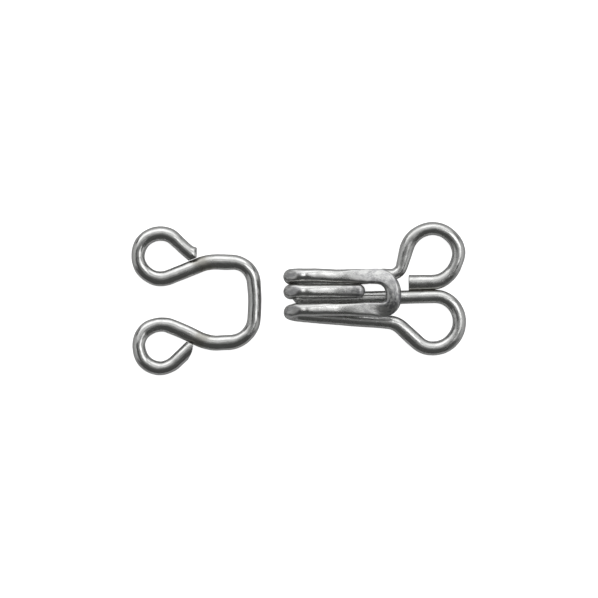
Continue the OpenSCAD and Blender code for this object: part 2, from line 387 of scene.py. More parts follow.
# %% Nudge the bill
lean_most, lean_grows, lean_ends = 0.09, (0.5, 1.1), (2.8, 3.9)
nose_lean, nose_lean_ends = 0.01, (0.3, 1.0)
lean = lean_most * eased(along, *lean_grows) * (1 - eased(along, *lean_ends))
lean = lean + nose_lean * (1 - eased(along, *nose_lean_ends))
lean *= eased(up, 0.5, 2.0) * (across < -0.9)
hook_line[:, 1] += lean

bill_floor, bill_from, bill_to = 1.6, 1.6, 4.9
slope_from, slope_run, pinch_play, soft_share = 1.8, 2.4, 0.02, 0.3
on_bill = (up > bill_floor) & (along > bill_from) & (along < bill_to)
straight_down = np.clip((along - slope_from) / slope_run, 0, 1)
gone_down = soft_share * eased(along, bill_from, 4.7) + (1 - soft_share) * straight_down
slope_down = bill_z - (bill_z - pinch_z - pinch_play) * gone_down
in_effect = eased(along, bill_from, 2.1) * (1 - eased(along, 4.2, bill_to))
moved_down = (slope_down - up)[on_bill] * in_effect[on_bill]
hook_line[on_bill, 2] += moved_down
print("lower strand moved by up to", abs(lean).max().round(2), "mm")
print("bill moved in height by up to", abs(moved_down).max().round(2), "mm")

# %% Raise the end of the prong
on_prong = hook_marks > 0.7 * hook_marks[-1]
rise_from, rise_run, tip_rise, smoothings = 3.4, 2.0, 0.17, 6
prong_end = on_prong & (along > rise_from) & (up > bill_floor)
hook_line[prong_end, 2] += tip_rise * ((along[prong_end] - rise_from) / rise_run) ** 1.5
for _ in range(smoothings):
    smooth_z = np.convolve(np.pad(hook_line[:, 2], 3, mode="edge"), np.ones(7) / 7, mode="valid")
    hook_line[on_bill, 2] = smooth_z[on_bill]
print("the middle of the prong's end is", hook_line[-1, 2].round(2), "mm above the surface")

# %% [markdown]
# ## Bulges along the way
# Bends that are set by hand are never quite round, and each squeeze of the tool leaves the wire a little
# wider or narrower. Each row of these tables is such a place. Its effect is level over its reach, and
# then dies away.

# %% Shift and widen the wire in places
# Columns: place along the wire and reach to both sides in mm, shift to the left of the way along it in mm,
# share that the wire is wider
EYE_BULGES = [
    (1.4, 1.5, 0.035, 0.02),
    (4.6, 1.7, 0.0, 0.09),
    (7.8, 1.1, 0.0, -0.06),
    (10.6, 1.9, -0.05, 0.0),
    (15.6, 2.0, -0.03, 0.05),
    (22.0, 1.8, -0.04, 0.0),
    (24.3, 1.0, 0.04, 0.0),
    (26.8, 1.1, -0.03, 0.0),
    (28.2, 0.7, 0.03, -0.06),
    (29.9, 0.9, -0.03, -0.05),
    (32.2, 1.0, -0.045, 0.05),
    (34.6, 1.3, 0.02, 0.05),
]
HOOK_BULGES = [
    (3.6, 1.2, 0.06, -0.07),
    (5.3, 0.9, -0.04, 0.0),
    (7.2, 1.1, -0.03, 0.0),
    (9.6, 0.9, 0.02, 0.0),
    (10.6, 1.5, 0.0, 0.05),
    (13.8, 2.1, -0.07, 0.0),
    (22.6, 2.3, 0.06, 0.0),
    (27.2, 2.0, 0.04, 0.0),
    (43.0, 3.2, -0.05, 0.0),
    (49.0, 1.7, -0.03, 0.05),
    (52.3, 1.5, 0.03, 0.05),
    (55.3, 1.6, -0.02, 0.0),
    (71.5, 4.0, 0.04, 0.02),
]


def level_sides(line):
    """The level direction to the left of the way along a line."""
    ahead = np.gradient(line[:, :3], axis=0)
    left = np.cross([0, 0, 1.0], ahead)
    return left / np.maximum(np.linalg.norm(left, axis=1), 1e-9)[:, None]


def bulged(line, marks, table):
    """Shifts a line sideways in the places of a table, and returns how much wider the wire is there."""
    at, reach, shift, share = (np.array(column)[:, None] for column in zip(*table))
    there = np.exp(-(((marks - at) / reach) ** 4))
    line[:, :3] += level_sides(line) * (there * shift).sum(axis=0)[:, None]
    return (there * share).sum(axis=0)


eye_wider = bulged(eye_line, eye_marks, EYE_BULGES)
hook_wider = bulged(hook_line, hook_marks, HOOK_BULGES)
print("wider by shares of", eye_wider.min().round(2), "to", hook_wider.max().round(2))

# %% [markdown]
# ## From a centre line to a skin
# Rings of points are set square to the centre line and joined. The rings must not twist, so each one
# takes its direction from the one before. A curve with a round bevel would do the same, but as a mesh
# every point can carry notes for the finish, such as where it would be on the straight wire and how near
# another strand passes it.

# %% Set rings along a line
AROUND = 40


def rings_along(line):
    spots = line[:, :3]
    ahead = np.gradient(spots, axis=0)
    ahead /= np.linalg.norm(ahead, axis=1)[:, None]
    side = np.cross([0, 0, 1.0], ahead[0])
    side /= np.linalg.norm(side)
    angles = np.linspace(0, 2 * math.pi, AROUND, endpoint=False)
    rings, straight = [], []
    gone = 0.0
    for k, (spot, forward) in enumerate(zip(spots, ahead)):
        side = side - forward * (side @ forward)
        side /= np.linalg.norm(side)
        up = np.cross(forward, side)
        r = line[k, 3] / 2
        circle = np.cos(angles)[:, None] * side + np.sin(angles)[:, None] * up
        rings.append(spot + r * circle)
        gone += np.linalg.norm(spot - spots[k - 1]) if k else 0
        straight.append(np.stack([np.full(AROUND, gone), np.cos(angles) * r, np.sin(angles) * r], axis=1))
    return np.array(rings), np.array(straight), ahead


eye_rings, eye_straight, eye_ahead = rings_along(eye_line)
hook_rings, hook_straight, hook_ahead = rings_along(hook_line)
print("rings:", len(eye_rings), "and", len(hook_rings))

# %% [markdown]
# ## Where the wire is squeezed wider
# The tools that close a bend also press on the wire, so it isn't round all along. The legs of the eye are
# wider than thick, and so are the hook's cut end and the slanting limb of its lower loop. Each ring is
# stretched across the wire, and most are made thinner in height too, as metal doesn't shrink.

# %% Squeeze some stretches of wire
def squeezed(rings, line, ahead, wider, thinner):
    """Stretches each ring level across the wire, and flattens it onto the surface that it lies on."""
    level = np.cross([0, 0, 1.0], ahead)
    level /= np.maximum(np.linalg.norm(level, axis=1), 1e-6)[:, None]
    from_line = rings - line[:, None, :3]
    sideways = (from_line * level[:, None]).sum(axis=2, keepdims=True) * level[:, None]
    rings = rings + sideways * wider[:, None, None]
    rings[..., 2] *= 1 - thinner[:, None]
    return rings


def stretch(marks, start, stop, soft):
    """1 between two places along the wire, easing off over a length on both sides."""
    up = np.clip((marks - start) / soft, 0, 1)
    down = np.clip((stop - marks) / soft, 0, 1)
    both = np.minimum(up, down)
    return both * both * (3 - 2 * both)


leg_from, leg_to, leg_soft = 6.5, 15.8, 1.6
leg_wider, leg_thinner, end_wider, end_thinner = 0.125, 0.09, 0.13, 0.04
legs = stretch(eye_marks, leg_from, leg_to, leg_soft)
legs = legs + stretch(eye_marks[-1] - eye_marks, leg_from, leg_to, leg_soft)
eye_wider = leg_wider * legs + eye_wider
eye_rings = squeezed(eye_rings, eye_line, eye_ahead, eye_wider, leg_thinner * legs)
hook_wider = end_wider * leaning_end + hook_wider
hook_rings = squeezed(hook_rings, hook_line, hook_ahead, hook_wider, end_thinner * leaning_end)
print("eye wider by up to", eye_wider.max().round(3), "of its thickness")

# %% Squeeze the slanting limb
limb_x, limb_reach, limb_top, limb_below = 8.3, 1.1, 0.6, -1.8
limb_wider, limb_thinner = 0.09, 0.05
near_limb = np.exp(-(((hook_line[:, 0] - limb_x) / limb_reach) ** 2))
low_limb = (hook_line[:, 2] < limb_top) * near_limb * (hook_line[:, 1] < limb_below)
hook_rings = squeezed(hook_rings, hook_line, hook_ahead, limb_wider * low_limb, limb_thinner * low_limb)
print("limb wider by up to", (limb_wider * low_limb).max().round(3), "of its thickness")

# %% [markdown]
# ## Small faults of bent wire
# Drawn wire that has been bent isn't a perfect tube: it flattens a little on the outside of a bend, and
# its surface is never dead level. A few slow waves along and around the wire are enough to make
# highlights wander.

# %% Waves in the wire
# Columns: length of a wave along the wire in mm, waves around it, height in mm
WAVES = ((5.2, 2, 0.006), (2.3, 1, 0.004), (1.1, 3, 0.003), (0.6, 2, 0.002))
drawn_thinner = 0.004


def wave(straight, seed):
    """The height of the waves at each point, in mm."""
    rng = np.random.default_rng(seed)
    total = np.zeros(straight.shape[:2])
    angle = np.arctan2(straight[..., 2], straight[..., 1])
    for length, turns, size in WAVES:
        shift = rng.uniform(0, 2 * math.pi, 2)
        lengthwise = np.sin(2 * math.pi * straight[..., 0] / length + shift[0])
        total += size * lengthwise * np.cos(turns * angle + shift[1])
    return total


def uneven(rings, straight, line, seed):
    """Moves each point outwards by the waves, from a wire that is drawn a little thinner."""
    outward = rings - line[:, None, :3]
    outward /= np.linalg.norm(outward, axis=2)[..., None]
    return rings + outward * (wave(straight, seed) - drawn_thinner)[..., None]


eye_rings = uneven(eye_rings, eye_straight, eye_line, 3)
hook_rings = uneven(hook_rings, hook_straight, hook_line, 8)
print("waves up to", abs(wave(hook_straight, 8)).max().round(4), "mm")

# %% [markdown]
# ## The pressed U turn
# The end of the bill is pressed between two dies, so that it doesn't catch. Each point is pulled in
# between them with a soft shoulder, because pressed metal keeps a rounded rim. The dies aren't level:
# they make the U slightly domed, and on its lower arm they tilt, so that the flat there faces the slot.
# They open towards the nose, and the flat runs out into the round wire. Where they rub hardest, the
# plating is worn, and two spots of painted shade darken the U further, on its lower right and its upper
# arm.

# %% The shape of the dies
# Heights and gaps are in mm, and pairs are stretches along the hook in mm from its nose
dome_curve, dome_sink, dome_askew, dome_starts = 0.135, 0.12, 0.03, (4.0, 6.2)
arm_lean, arm_sink, arm_edge, arm_ends = 0.16, 0.04, -0.6, (6.2, 7.5)
open_at_pinch, open_at_throat, throat_ends = 0.05, 0.15, (1.2, 2.4)
closing_from, closing_run = 2.2, 4.1
all_worn, worn_starts = 0.62, (4.2, 6.4)

# Spots of painted shade on the U, on its lower right and on its upper arm.
# Columns: how dark the spot is, its place along and across, its reach along and across, its slant
SHADE_SPOTS_ON_U = (
    (1.3, (8.05, -0.6), (0.42, 0.75), 0.3),
    (0.4, (6.6, 1.2), (1.3, 0.5), 0.0),
)


def shade_spot(along, across, at, reach, slant):
    """1 at a place, dying away over its reach along and its reach across."""
    off_along = (along - at[0] - slant * (across - at[1])) / reach[0]
    off_across = (across - at[1]) / reach[1]
    return np.exp(-(off_along**2) - off_across**2)


def dies(x, y):
    """How far the dies' middle lies above the centre line, half their gap, and how worn the wire is, with
    the spots of painted shade on the U added to the wear.
    """
    along, across = x - hook_shift[0], y - hook_shift[1]
    dome = dome_curve * ((coin_y + dome_askew) ** 2 - (across + dome_askew) ** 2) - dome_sink
    leaning = -arm_lean * (across + coin_y) - arm_sink
    lower_arm = leaning + (dome - leaning) * eased(along, *arm_ends)
    above = np.where(across < arm_edge, lower_arm, dome) * eased(along, *dome_starts)
    closing = np.clip((along - closing_from) / closing_run, 0, 1)
    half = coin_t / 2 + open_at_pinch * (1 - closing)
    half = half + open_at_throat * (1 - eased(along, *throat_ends))
    wear_and_shade = all_worn * eased(along, *worn_starts)
    for amount, at, reach, slant in SHADE_SPOTS_ON_U:
        wear_and_shade = wear_and_shade + amount * shade_spot(along, across, at, reach, slant)
    return above, half, wear_and_shade


print("gap of the dies at the U turn:", round(2 * dies(hook_shift[0] + coin_x, 0.0)[1], 2), "mm")

# %% Press the end of the bill
pressed_from, prong_end_shade, prong_shade_starts, shoulder = 1.2, 0.9, (3.7, 5.3), 10.0
press_rows = (hook_line[:, 2] > bill_floor) & (hook_line[:, 0] > hook_shift[0] + pressed_from)
above, half, wear_and_shade = dies(hook_rings[..., 0], hook_rings[..., 1])
above[on_prong] = 0
# The end of the prong is painted darker towards its tip, as painted shade.
wear_and_shade[on_prong] = prong_end_shade * eased(hook_rings[on_prong, :, 0] - hook_shift[0], *prong_shade_starts)
middle = hook_line[:, None, 2] + above
depth = (hook_rings[..., 2] - middle) / half
flattened = middle + half * depth / (1 + np.abs(depth) ** shoulder) ** (1 / shoulder)
hook_rings[press_rows, :, 2] = flattened[press_rows]
# This note holds the wear of the dies together with the painted shade on the U and on the prong's end.
pressed = np.zeros(hook_rings.shape[:2])
pressed[press_rows] = wear_and_shade[press_rows]
print("top of the bill:", hook_rings[press_rows][..., 2].max().round(2), "mm")

# %% [markdown]
# ## The flats on the nose
# The tool that folds the bill over pushes on the nose, and leaves a slanting flat on the front of each of
# the three strands. Points that stand out past the plane of the flat are brought back to it, with a soft
# rim and a slight ripple. A cut with a box would leave a hard edge, and such a flat has none.

# %% Flatten the front of the nose
flat_ways = np.array([[-0.49, 0.12, 0.872], [-0.46, -0.06, 0.872], [-0.49, 0.06, 0.872]])
flat_depth, flat_softness, ripple_depth = 0.14, 0.13, 0.02
flat_worn, worn_between = 0.82, (-0.2, 0.08)
nose_reach, nose_floor, ripples_along, ripples_across = 1.7, 0.9, 7, 6

at_nose = (hook_line[:, 0] < hook_shift[0] + nose_reach) & (hook_line[:, 2] > nose_floor)
starts = np.flatnonzero(np.diff(np.r_[0, at_nose.astype(int)]) == 1)
stops = np.flatnonzero(np.diff(np.r_[at_nose.astype(int), 0]) == -1)
nose_flat = np.zeros(hook_rings.shape[:2])
for first, last, flat_way in zip(starts, stops, flat_ways):
    strand = hook_rings[first : last + 1]
    out = strand @ flat_way
    ripple = np.sin(ripples_along * strand[..., 0] + 3 * first)
    ripple *= np.cos(ripples_across * strand[..., 1] + first)
    over = out - (out.max() - flat_depth) + ripple_depth * ripple
    push = 0.5 * (over + np.sqrt(over**2 + flat_softness**2))
    hook_rings[first : last + 1] = strand - push[..., None] * flat_way
    nose_flat[first : last + 1] = flat_worn * eased(over, *worn_between)
print("flats on the nose:", len(starts))

# %% [markdown]
# ## The cut ends
# The wire is cut with a shear. Each end ring is slid along the wire until it meets the plane of the cut,
# so a slanted cut gives a slanted face, and a narrow chamfer stands for the rounded lip that a blade
# leaves. An end of the eye is also pushed against its leg, and the side of the leg is then a second
# plane.

# %% Slide a ring onto a cut
edge_soft, chamfer = 0.03, 0.03
face_shares = (1 - chamfer / wire_r, 0.6, 0.25)


def slid(ring, forward, planes):
    """Each point goes along the wire to the first of the cutting planes, given as (point, outward normal).
    Where two planes meet, the edge between them is softened."""
    steps = np.array([((spot - ring) @ normal) / (forward @ normal) for spot, normal in planes])
    first = steps.min(axis=0)
    first = first - edge_soft * np.log(np.exp(-(steps - first) / edge_soft).sum(axis=0))
    return ring + forward * first[:, None]


def end_rings(ring, forward, planes):
    """Rings that close an end: one behind the chamfer, and three on the face."""
    lip = slid(ring, forward, planes)
    middle = lip.mean(axis=0)
    on_face = [middle + (lip - middle) * share for share in face_shares]
    return [lip - forward * chamfer, *on_face]


print("every cut has a chamfer of", chamfer, "mm")

# %% Leave out what is past the cut
def trimmed(rings, straight, forward, planes, at_start, shares=(), least_room=0.12):
    """Leaves out the rings past the cut, and closes the end. Rings at some shares of the last stretch keep
    it round up to the cut, and without them its shading runs up the wire like a worn slope."""
    ahead = -forward[0] if at_start else forward[-1]
    order = slice(None, None, -1) if at_start else slice(None)
    rings, straight = list(rings[order]), list(straight[order])
    last = straight[-1]

    def room(ring):
        return min(((spot - ring) @ normal / (ahead @ normal)).min() for spot, normal in planes)

    while len(rings) > 2 and room(rings[-1]) < least_room:
        rings.pop()
        last = straight.pop()
    closing = end_rings(rings[-1], ahead, planes)
    closing = [rings[-1] + (closing[0] - rings[-1]) * share for share in shares] + closing
    for ring in closing:
        moved = ((ring - rings[-1]) @ ahead) * (-1 if at_start else 1)
        straight.append(last + moved[:, None] * [1, 0, 0])
    rings += closing
    return np.array(rings)[order], np.array(straight)[order]


print("before trimming, the eye has", len(eye_rings), "rings and the hook", len(hook_rings))

# %% [markdown]
# Both ends of the eye are sheared at a slant to the wire. The upper one has a small burr on its corner,
# and the lower one has a blunt outer corner.

# %% Cut the eye's two ends
leg_half = 1.1 * wire_r


def eye_planes(side, tilt, further, blunt=0.0, flip=False):
    """The shear's plane, the side of the leg, and for a blunt end a plane across the outer corner."""
    spot = np.array([*crossing(side), 0])
    leg_side = np.array([*way(neck_way(side) + 90), 0])
    cut = np.array([spot[0] - side["short"] * wire_d + further, spot[1] + wire_r, 0])
    facing = np.array([*way(tilt), 0])
    planes = [(cut, facing), (spot + leg_side * leg_half, -leg_side)]
    if blunt:
        forward, outward = np.array([*way(end_way(side)), 0]), np.array([*way(end_way(side) + 90), 0])
        edge = spot + outward * wire_r
        corner = edge + forward * ((cut - edge) @ facing) / (forward @ facing)
        between = (facing + outward) / np.linalg.norm(facing + outward)
        planes.append((corner - between * blunt, between))
    turned = np.array([1, -1, 1]) if flip else np.ones(3)
    return [(point * turned + eye_shift, normal * turned) for point, normal in planes]


upper_cut = eye_planes(upper_side, tilt=-3, further=-0.02)
lower_cut = eye_planes(lower_side, tilt=9, further=0.05, blunt=0.1, flip=True)
lower_shares = (0.3, 0.6, 0.85, 0.95)
eye_rings, eye_straight = trimmed(eye_rings, eye_straight, eye_ahead, upper_cut, True)
eye_rings, eye_straight = trimmed(eye_rings, eye_straight, eye_ahead, lower_cut, False, lower_shares)
eye_ends = eye_rings[[0, -1], :, 0].max(axis=1)
print("the eye's ends lie at x =", eye_ends.round(2))

# %% Raise the burr on the upper end
burr_rings, burr_size, burr_reach = 24, 0.15, 0.26
lip_ring, corner_way = eye_rings[len(face_shares)], np.array([0.7, 0.7, 0])
burr_at = lip_ring[np.argmax(lip_ring @ corner_way)]
from_burr = np.linalg.norm((eye_rings[:burr_rings] - burr_at)[..., :2], axis=2)
eye_rings[:burr_rings, :, 1] += burr_size * np.exp(-((from_burr / burr_reach) ** 2))
print("burr of", burr_size, "mm at", burr_at[:2].round(2))

# %% [markdown]
# ## The rounded tip of the prong
# The middle prong ends inside the bill and must not scratch the eye, so its end is tumbled round. The
# rings simply get smaller over half a ball. The hook's other end lies beside its shank and is sheared
# square.

# %% Close the ends of the hook
tip_at, tip_way, last_ring = hook_line[-1, :3], hook_ahead[-1], hook_rings[-1]
tip_steps, tip_face = 8, 0.05
tip = []
for turn in np.linspace(0, math.pi / 2, tip_steps + 1)[1:-1]:
    tip.append(tip_at + (last_ring - tip_at) * math.cos(turn) + tip_way * wire_r * math.sin(turn))
tip.append(tip_at + (last_ring - tip_at) * tip_face + tip_way * wire_r)
hook_rings = np.concatenate([hook_rings, tip])
hook_straight = np.concatenate([hook_straight, [hook_straight[-1]] * len(tip)])
before = len(hook_rings)
hook_cut = [(np.array([cut_x, 0, 0]) + hook_shift, np.array([-1.0, 0, 0]))]
hook_rings, hook_straight = trimmed(hook_rings, hook_straight, hook_ahead, hook_cut, True)
added = len(hook_rings) - before


def refitted(note):
    """A note of the hook's rings, with rows for the tip and for the rings that the cut added or removed."""
    note = np.concatenate([note, np.repeat(note[-1:], len(tip), axis=0)])
    return np.concatenate([np.zeros((added, AROUND)), note]) if added >= 0 else note[-added:]


pressed, nose_flat = refitted(pressed), refitted(nose_flat)
print("the hook has", len(hook_rings), "rings")

# %% [markdown]
# ## Notes for the finish
# Between two strands that lie close together, the wire is painted browner and darker: partly tarnish, which
# stays where a cloth can't reach, and partly painted shade, which falls between the strands.
# For every point, the nearest centre line of another stretch of wire is found, and the gap to it is kept
# as a number.

# %% Measure the crevices
def crevices(rings, line, marks, own_stretch=2.4, fade=0.22):
    """1 where another strand touches, falling off over a fraction of a millimetre."""
    found = np.zeros(rings.shape[:2])
    sparse = slice(None, None, 2)
    spots, places = line[sparse, :3], marks[sparse]
    for k, ring in enumerate(rings):
        own = np.argmin(np.linalg.norm(line[:, :3] - ring.mean(axis=0), axis=1))
        others = spots[np.abs(places - marks[own]) > own_stretch]
        gap = np.linalg.norm(ring[:, None] - others[None], axis=2).min(axis=1) - wire_r
        found[k] = np.exp(-np.maximum(gap, 0) / fade)
    return found


eye_crevice = crevices(eye_rings, eye_line, eye_marks)
hook_crevice = crevices(hook_rings, hook_line, hook_marks)
print("deepest crevice notes:", eye_crevice.max().round(2), hook_crevice.max().round(2))

# %% [markdown]
# ## Build the meshes
# The rings become one closed skin for each wire. The notes are stored as attributes of its points, which
# a material can read.

# %% Skin the rings
def skin(name, rings, straight, notes):
    """One closed mesh: a band of faces between every two rings, and a cap at each end."""
    count = len(rings)
    points = [tuple(p) for p in rings.reshape(-1, 3) * MM]
    faces = []
    for k in range(count - 1):
        for j in range(AROUND):
            n = (j + 1) % AROUND
            faces.append((k * AROUND + j, k * AROUND + n, (k + 1) * AROUND + n, (k + 1) * AROUND + j))
    faces.append(tuple(range(AROUND))[::-1])
    faces.append(tuple(range((count - 1) * AROUND, count * AROUND)))
    mesh = bpy.data.meshes.new(name)
    mesh.from_pydata(points, [], faces)
    place = mesh.attributes.new("straight_wire", "FLOAT_VECTOR", "POINT")
    place.data.foreach_set("vector", straight.reshape(-1).astype(np.float32))
    for note, values in notes.items():
        kept = mesh.attributes.new(note, "FLOAT", "POINT")
        kept.data.foreach_set("value", values.reshape(-1).astype(np.float32))
    mesh.shade_smooth()
    mesh.validate()
    piece = bpy.data.objects.new(name, mesh)
    bpy.context.scene.collection.objects.link(piece)
    return piece


def cut_note(rings, start, stop):
    """1 on the rings of the sheared faces: this many at the start of the wire, and this many at its end."""
    note = np.zeros(rings.shape[:2])
    note[:start] = 1
    note[len(rings) - stop :] = 1
    return note


on_a_face = len(face_shares)
eye_notes = {"crevice": eye_crevice, "cut": cut_note(eye_rings, on_a_face, on_a_face)}
hook_notes = {
    "crevice": hook_crevice,
    "pressed": pressed,
    "struck": nose_flat,
    "cut": cut_note(hook_rings, on_a_face, 0),
}
eye_wire = skin("eye_wire", eye_rings, eye_straight, eye_notes)
hook_wire = skin("hook_wire", hook_rings, hook_straight, hook_notes)
for piece, node in ((eye_wire, "eye"), (hook_wire, "hook")):
    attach(piece, "root")
    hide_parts(node)
    print(piece.name, len(piece.data.polygons), "faces")

# %% [markdown]
# ## Shared effects
# Both wires come off the same reel and out of the same plating bath, so they share four effects, and each
# is a node group. All of them are worked out on the straightened wire, in millimetres, so that the marks
# follow the wire round its bends. First come a few helpers that add and link nodes.

# %% Helpers for nodes
def new_group(name, inputs, outputs):
    tree = bpy.data.node_groups.new(name, "ShaderNodeTree")
    for label, kind, value in inputs:
        socket = tree.interface.new_socket(label, in_out="INPUT", socket_type=kind)
        if value is not None:
            socket.default_value = value
    for label, kind in outputs:
        tree.interface.new_socket(label, in_out="OUTPUT", socket_type=kind)
    return tree, tree.nodes.new("NodeGroupInput").outputs, tree.nodes.new("NodeGroupOutput").inputs


def node(tree, kind, links=(), **settings):
    """A node with its settings, and its inputs linked or set: {input: socket or value}."""
    made = tree.nodes.new(kind)
    for key, value in settings.items():
        setattr(made, key, value)
    for key, value in dict(links).items():
        if isinstance(value, bpy.types.NodeSocket):
            tree.links.new(value, made.inputs[key])
        else:
            made.inputs[key].default_value = value
    return made


def noise(tree, place, waves, detail=2.0, rough=0.5):
    """Noise on the straightened wire, with so many waves to a millimetre along it and around it."""
    spread = node(tree, "ShaderNodeVectorMath", {0: place, 1: waves}, operation="MULTIPLY").outputs[0]
    values = {"Vector": spread, "Scale": 1.0, "Detail": detail, "Roughness": rough}
    return node(tree, "ShaderNodeTexNoise", values).outputs[0]


def ranged(tree, value, low, high, to_low=0.0, to_high=1.0):
    """A value between low and high, brought softly to between two others."""
    values = {"Value": value, "From Min": low, "From Max": high, "To Min": to_low, "To Max": to_high}
    return node(tree, "ShaderNodeMapRange", values, interpolation_type="SMOOTHSTEP").outputs[0]


def maths(tree, operation, first, *others):
    """Values added, multiplied or compared one after another."""
    for other in others:
        first = node(tree, "ShaderNodeMath", {0: first, 1: other}, operation=operation).outputs[0]
    return first


def mixed(tree, factor, a, b):
    """The first colour where the factor is 0, and the second where it is 1."""
    return node(tree, "ShaderNodeMix", {0: factor, 6: a, 7: b}, data_type="RGBA").outputs[2]


PLACE = ("Place", "NodeSocketVector", None)
MASK, HEIGHT = ("Mask", "NodeSocketFloat"), ("Height", "NodeSocketFloat")
print("every effect takes", PLACE[0], "and puts out", MASK[0], "or", HEIGHT[0])

# %% [markdown]
# ### Lines from the drawing die
# Wire is pulled through a die, and every grain in the die draws a line along it. A picture of lines could
# be wrapped round the wire, but noise with many waves around the wire and few along it needs no picture.
# A fine and a broad noise are added, because real lines aren't equally wide.

# %% Make the drawing lines
draw_lines, given, made = new_group(
    "Lines from the drawing die", [PLACE, ("Strength", "NodeSocketFloat", 1.0)], [HEIGHT, MASK]
)
fine_waves, fine_share, broad_waves, broad_share = (0.35, 16, 16), 0.6, (0.2, 5, 5), 0.4
line_edges = (0.38, 0.62)
fine = noise(draw_lines, given["Place"], fine_waves, detail=3)
broad = noise(draw_lines, given["Place"], broad_waves, detail=1)
fine = maths(draw_lines, "MULTIPLY", fine, fine_share)
both = maths(draw_lines, "ADD", fine, maths(draw_lines, "MULTIPLY", broad, broad_share))
draw_lines.links.new(maths(draw_lines, "MULTIPLY", both, given["Strength"]), made["Height"])
draw_lines.links.new(ranged(draw_lines, both, *line_edges), made["Mask"])
print(draw_lines.name, "has", len(draw_lines.nodes), "nodes")

# %% [markdown]
# ### Cloudy plating
# Thin plating has dull clouds about a millimetre wide, and tiny pits. The clouds are a mask, so that the
# finish can say how dull they are, and the pits are a height.

# %% Make the cloudy plating
cloudy_plating, given, made = new_group(
    "Cloudy plating", [PLACE, ("Pits", "NodeSocketFloat", 1.0)], [MASK, HEIGHT]
)
cloud_waves, pit_waves, cloud_edges = (0.9, 1.8, 1.8), (5.5, 7, 7), (0.36, 0.64)
clouds = noise(cloudy_plating, given["Place"], cloud_waves, detail=4, rough=0.6)
pits = noise(cloudy_plating, given["Place"], pit_waves, detail=2)
cloudy_plating.links.new(ranged(cloudy_plating, clouds, *cloud_edges), made["Mask"])
cloudy_plating.links.new(maths(cloudy_plating, "MULTIPLY", pits, given["Pits"]), made["Height"])
print(cloudy_plating.name, "has", len(cloudy_plating.nodes), "nodes")

# %% [markdown]
# ### Handling scratches
# Scratches run askew across the wire, and only in patches where pieces rubbed against each other. So thin
# lines from a turned noise are kept only where a slow noise is high. Each one could be drawn by hand, but
# at this size nobody could tell.

# %% Make the scratches
given_amount = ("Amount", "NodeSocketFloat", 0.5)
scratches, given, made = new_group("Handling scratches", [PLACE, given_amount], [MASK])
hair_waves, hair_edges, patch_waves, patch_edges = (1.1, 22, 22), (0.63, 0.70), (0.8, 0.8, 0.8), (0.45, 0.6)
askew_place = {"Vector": given["Place"], "Angle": 0.5}
turned = node(scratches, "ShaderNodeVectorRotate", askew_place, rotation_type="Z_AXIS").outputs[0]
hairs = ranged(scratches, noise(scratches, turned, hair_waves, detail=1), *hair_edges)
patches = ranged(scratches, noise(scratches, given["Place"], patch_waves, detail=1), *patch_edges)
scratches.links.new(maths(scratches, "MULTIPLY", hairs, patches, given["Amount"]), made["Mask"])
print(scratches.name, "has", len(scratches.nodes), "nodes")

# %% [markdown]
# ### Marks of the bending tools, and painted shade
# Where jaws and dies grip the wire, they crush the plating and leave small dents and dull blotches. The
# amount comes from the notes of the mesh, so the marks lie where a tool has been, and also on spots of the
# U and on the end of the prong, where they are painted shade.

# %% Make the tool marks and painted shade
tool_marks_and_shade, given, made = new_group(
    "Tool marks and painted shade",
    [PLACE, ("Amount", "NodeSocketFloat", 0.0), ("Dents", "NodeSocketFloat", 1.0)],
    [MASK, HEIGHT],
)
blotch_waves, dent_waves, blotch_edges = (1.7, 2.6, 2.6), (5, 5.5, 5.5), (0.40, 0.60)
least_dull, most_dull = 0.1, 0.9
blotches = noise(tool_marks_and_shade, given["Place"], blotch_waves, detail=4, rough=0.65)
dents = noise(tool_marks_and_shade, given["Place"], dent_waves, detail=3, rough=0.6)
blotches = ranged(tool_marks_and_shade, blotches, *blotch_edges)
uneven_share = ranged(tool_marks_and_shade, blotches, 0, 1, least_dull, most_dull)
tool_marks_and_shade.links.new(maths(tool_marks_and_shade, "MULTIPLY", given["Amount"], uneven_share), made["Mask"])
full_amount = maths(tool_marks_and_shade, "MINIMUM", given["Amount"], 1.0)
tool_marks_and_shade.links.new(maths(tool_marks_and_shade, "MULTIPLY", full_amount, given["Dents"], dents), made["Height"])
print(tool_marks_and_shade.name, "has", len(tool_marks_and_shade.nodes), "nodes")

# %% [markdown]
# ## The finish of the wire
# Bright plating over steel is a metal with a fairly low roughness. The clouds make it duller in patches,
# the lines and scratches bend the highlights, the tools leave grey marks, painted shade greys spots of the
# U and the end of the prong, tarnish and painted shade brown the crevices, and the sheared faces show bare
# steel. The two finishes differ only in their values: the hook has been worked harder, so it is duller, its
# crevices are browner and darker, and its drawing lines are fainter.

# %% The colours of the metal
BRIGHT, DULL = (0.70, 0.702, 0.694, 1), (0.54, 0.544, 0.536, 1)
# The worn grey is also painted shade on the U and the prong's end, and the tarnish brown is also painted
# shade between strands.
WORN_AND_SHADED, BARE_STEEL = (0.28, 0.28, 0.295, 1), (0.46, 0.455, 0.445, 1)
TARNISHED_AND_SHADED, SCRATCHED = (0.22, 0.205, 0.155, 1), (0.85, 0.85, 0.84, 1)
cloud_share, line_share, pit_depth, dent_depth = 0.6, 0.25, 0.8, 5.0
clear_smoother, cloud_rougher, crevice_power = 0.04, 0.07, 1.5
rough_cut, rough_worked, rough_crevice = 0.18, 0.10, 0.10
bump_strength, bump_height = 0.25, 0.02 * MM
print("plating mirrors", BRIGHT[0], "of the light, and worn plating", WORN_AND_SHADED[0])

# %% Make the two finishes
def note_of(tree, name):
    """A note that the mesh carries on its points."""
    return node(tree, "ShaderNodeAttribute", attribute_name=name).outputs["Fac"]


def effect(tree, group, **values):
    """A shared effect, placed in a material with its own values."""
    place = node(tree, "ShaderNodeAttribute", attribute_name="straight_wire").outputs["Vector"]
    return node(tree, "ShaderNodeGroup", {"Place": place, **values}, node_tree=group).outputs


